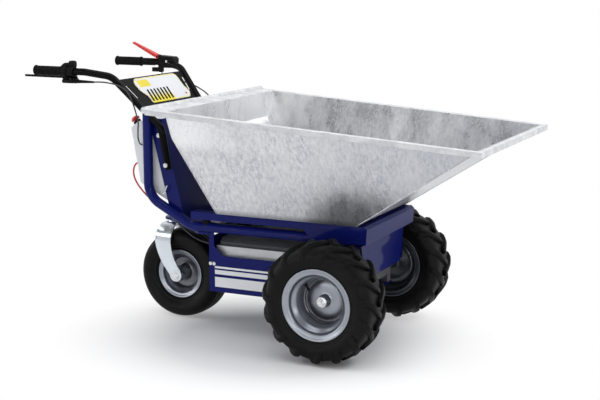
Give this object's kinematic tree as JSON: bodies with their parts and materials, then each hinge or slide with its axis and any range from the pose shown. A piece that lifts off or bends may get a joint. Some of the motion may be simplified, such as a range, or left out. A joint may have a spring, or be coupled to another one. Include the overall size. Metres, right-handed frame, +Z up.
{
  "type": "concrete buggy",
  "caption": "Electric walk-behind tipping buggy: galvanised hopper hinged over a blue chassis with lugged drive wheels in front, a swivel caster behind and rearward handles with controls.",
  "frame": {"origin": "on the ground under the middle of the overall length, on the middle plane", "axes": "+X forward towards the pouring lip, +Y to the left side, +Z up"},
  "size_m": [1.762, 0.8514, 0.9827],
  "materials": {
    "blue_paint": "gloss",
    "galvanised_sheet": "spangled",
    "zinc_plate": "bright",
    "black_tube": "satin",
    "grip_rubber": "matt",
    "tyre_rubber": "matt",
    "rim_paint": "satin",
    "box_paint": "satin",
    "white_plastic": "gloss",
    "black_plastic": "satin",
    "red_plastic": "gloss",
    "cast_housing": "rough",
    "bright_steel": "bright",
    "cable_sheath": "satin",
    "red_cable": "satin",
    "battery_case_plastic": "matt"
  },
  "bodies": {
    "chassis": {"right_frame_tube": "blue_paint", "left_frame_tube": "blue_paint", "cross_tubes": "blue_paint", "front_plate": "blue_paint", "hinge_ears": "blue_paint", "hinge_rod": "blue_paint", "side_skirts": "blue_paint", "belly_pan": "blue_paint", "battery_case": "zinc_plate", "battery_lid": "black_plastic", "batteries": "battery_case_plastic", "transaxle_housing": "cast_housing", "drive_motor": "cast_housing", "axle_bearings": "bright_steel", "caster_bridge": "blue_paint", "kingpin": "bright_steel", "rest_pads": "grip_rubber", "back_panel": "blue_paint", "controller_case": "box_paint", "controller_cover": "box_paint", "motor_controller": "black_plastic", "battery_lead": "red_cable", "estop_base": "black_plastic", "right_handle_tube": "black_tube", "left_handle_tube": "black_tube", "grips": "grip_rubber", "fascia_plate": "black_tube", "fascia_cover": "white_plastic", "control_pod": "black_plastic", "throttle_body": "black_plastic", "brake_perch": "black_plastic", "brake_cable": "cable_sheath", "lever_housing": "black_plastic", "lever_cable": "cable_sheath", "frame_bolts": "bright_steel"},
    "tipping_hopper": {"hopper_floor": "galvanised_sheet", "hopper_sides": "galvanised_sheet", "hopper_ends": "galvanised_sheet", "hopper_rim": "galvanised_sheet", "cradle_rails": "blue_paint", "cradle_beam": "blue_paint", "cradle_cross_members": "blue_paint", "hopper_bolts": "bright_steel"},
    "right_drive_wheel": {"right_tyre": "tyre_rubber", "right_rim": "rim_paint", "right_axle": "bright_steel"},
    "left_drive_wheel": {"left_tyre": "tyre_rubber", "left_rim": "rim_paint", "left_axle": "bright_steel"},
    "caster_swivel": {"caster_fork": "zinc_plate", "caster_axle": "bright_steel"},
    "caster_wheel": {"caster_tyre": "tyre_rubber", "caster_rim": "rim_paint", "caster_bearings": "bright_steel"},
    "run_lever": {"hold_to_run_lever": "red_plastic"},
    "hand_brake": {"brake_lever": "black_plastic"},
    "throttle_paddle": {"thumb_throttle": "black_plastic"},
    "stop_button": {"estop_button": "red_plastic"},
    "key": {"key_switch": "bright_steel"},
    "rocker": {"direction_rocker": "black_plastic"}
  },
  "joints": [
    {"name": "hopper_tip", "type": "hinge", "parent": "chassis", "child": "tipping_hopper", "pos_m": [0.428, 0, 0.392], "axis": [0, 1, 0], "range_deg": [0, 65]},
    {"name": "right_wheel_spin", "type": "hinge", "parent": "chassis", "child": "right_drive_wheel", "pos_m": [0.344, -0.3215, 0.203], "axis": [0, 1, 0], "continuous": true},
    {"name": "left_wheel_spin", "type": "hinge", "parent": "chassis", "child": "left_drive_wheel", "pos_m": [0.344, 0.3215, 0.203], "axis": [0, 1, 0], "continuous": true},
    {"name": "caster_turn", "type": "hinge", "parent": "chassis", "child": "caster_swivel", "pos_m": [-0.407, 0, 0.35], "axis": [0, 0, 1], "continuous": true},
    {"name": "caster_spin", "type": "hinge", "parent": "caster_swivel", "child": "caster_wheel", "pos_m": [-0.357, 0, 0.1625], "axis": [0, 1, 0], "continuous": true},
    {"name": "run_lever_press", "type": "hinge", "parent": "chassis", "child": "run_lever", "pos_m": [-0.619, 0.262, 0.928], "axis": [0, -1, 0], "range_deg": [0, 14], "stiffness_Nm_per_rad": 0.3, "springref_deg": -17.19},
    {"name": "brake_squeeze", "type": "hinge", "parent": "chassis", "child": "hand_brake", "pos_m": [-0.663, -0.232, 0.885], "axis": [0, 0, 1], "range_deg": [0, 8], "stiffness_Nm_per_rad": 1, "springref_deg": -11.46},
    {"name": "throttle_push", "type": "hinge", "parent": "chassis", "child": "throttle_paddle", "pos_m": [-0.655, -0.262, 0.908], "axis": [-1, 0, 0], "range_deg": [0, 45], "stiffness_Nm_per_rad": 0.15, "springref_deg": -22.92},
    {"name": "stop_press", "type": "slide", "parent": "chassis", "child": "stop_button", "axis": [0.6247, 0, -0.7809], "range_m": [0, 0.006], "stiffness_N_per_m": 800},
    {"name": "key_turn", "type": "hinge", "parent": "chassis", "child": "key", "pos_m": [-0.49539, 0.098, 0.84577], "axis": [-0.6652, 0, 0.7467], "range_deg": [0, 90]},
    {"name": "direction_rock", "type": "hinge", "parent": "chassis", "child": "rocker", "pos_m": [-0.49872, 0.046, 0.8495], "axis": [0, 1, 0], "range_deg": [-10, 10]}
  ]
}
